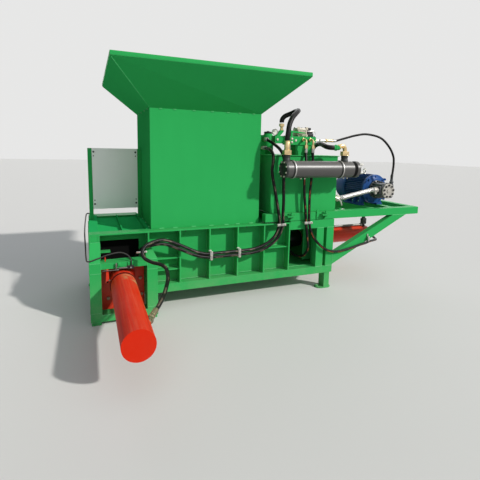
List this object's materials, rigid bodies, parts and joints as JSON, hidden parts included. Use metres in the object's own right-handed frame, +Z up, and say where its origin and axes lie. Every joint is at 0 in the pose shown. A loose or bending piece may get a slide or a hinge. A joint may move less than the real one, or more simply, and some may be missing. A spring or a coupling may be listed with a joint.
{
  "type": "stationary hydraulic hay press baler",
  "caption": "Horizontal hay and silage press baler with feed hopper, ribbed press chamber, pressing ram, side bale ejector and open hydraulic power pack.",
  "frame": {"origin": "on the ground under the middle of the whole machine's outer box", "axes": "+X along the press towards the motor end, +Y from the ejector cylinder's side to the bale outlet, +Z up"},
  "size_m": [3.8206, 2.61, 2.266],
  "materials": {
    "green_paint": "semi-gloss green machine enamel",
    "red_paint": "semi-gloss orange red enamel",
    "grey_panel": "satin pale grey sheet",
    "dark_grey_paint": "gloss dark grey",
    "blue_paint": "satin blue enamel on cast ribs",
    "brass": "turned brass and yellow zinc",
    "bright_steel": "bright zinc plated steel",
    "chromed_rod": "polished hard chrome",
    "worn_steel": "dark worn steel",
    "valve_paint": "beige moulded coils on grey valve bodies",
    "black_rubber": "satin black hose cover"
  },
  "bodies": {
    "frame": {"base_beams": "green_paint", "front_web": "green_paint", "front_ribs": "green_paint", "front_ledge": "green_paint", "front_stiffeners": "green_paint", "back_web": "green_paint", "back_ribs": "green_paint", "back_ledge": "green_paint", "chamber_floor": "green_paint", "chamber_roof": "green_paint", "left_end_wall": "green_paint", "end_bulkhead": "green_paint", "end_posts": "green_paint", "top_rails": "green_paint", "deck_plate": "green_paint", "feet": "green_paint", "hopper_box": "green_paint", "hopper_flare": "green_paint", "hopper_rim": "green_paint", "panel_posts": "green_paint", "control_panel": "grey_panel", "outlet_sleeve": "green_paint", "ejector_portal": "green_paint", "portal_arms": "green_paint", "ejector_flange": "red_paint", "ejector_barrel": "red_paint", "limit_switch": "dark_grey_paint", "main_barrel": "red_paint", "main_port_pipe": "bright_steel", "pack_rails": "green_paint", "pack_crossbars": "green_paint", "pack_braces": "green_paint", "oil_tank": "green_paint", "tank_lid": "green_paint", "tank_feet": "green_paint", "valve_stand": "green_paint", "valve_stack": "valve_paint", "pressure_gauge": "bright_steel", "oil_cooler": "dark_grey_paint", "cooler_ports": "brass", "cooler_brackets": "green_paint", "motor_body": "blue_paint", "motor_feet": "blue_paint", "motor_cowl": "blue_paint", "terminal_box": "blue_paint", "pump": "dark_grey_paint", "suction_pipe": "bright_steel", "ejector_hose_a": "black_rubber", "ejector_hose_b": "black_rubber", "main_hose_a": "black_rubber", "main_hose_b": "black_rubber", "pressure_hose": "black_rubber", "cooler_hoses": "black_rubber", "sensor_cable": "black_rubber", "hose_clamps": "bright_steel", "hose_fittings": "brass"},
    "main_ram": {"main_platen": "green_paint", "main_rod": "chromed_rod"},
    "ejector_ram": {"ejector_platen": "worn_steel", "ejector_rod": "chromed_rod"}
  },
  "joints": [
    {"name": "main_ram_slide", "type": "slide", "parent": "frame", "child": "main_ram", "axis": [-1, 0, 0], "range_m": [0, 1.14]},
    {"name": "ejector_slide", "type": "slide", "parent": "frame", "child": "ejector_ram", "axis": [0, 1, 0], "range_m": [0, 0.9]}
  ]
}
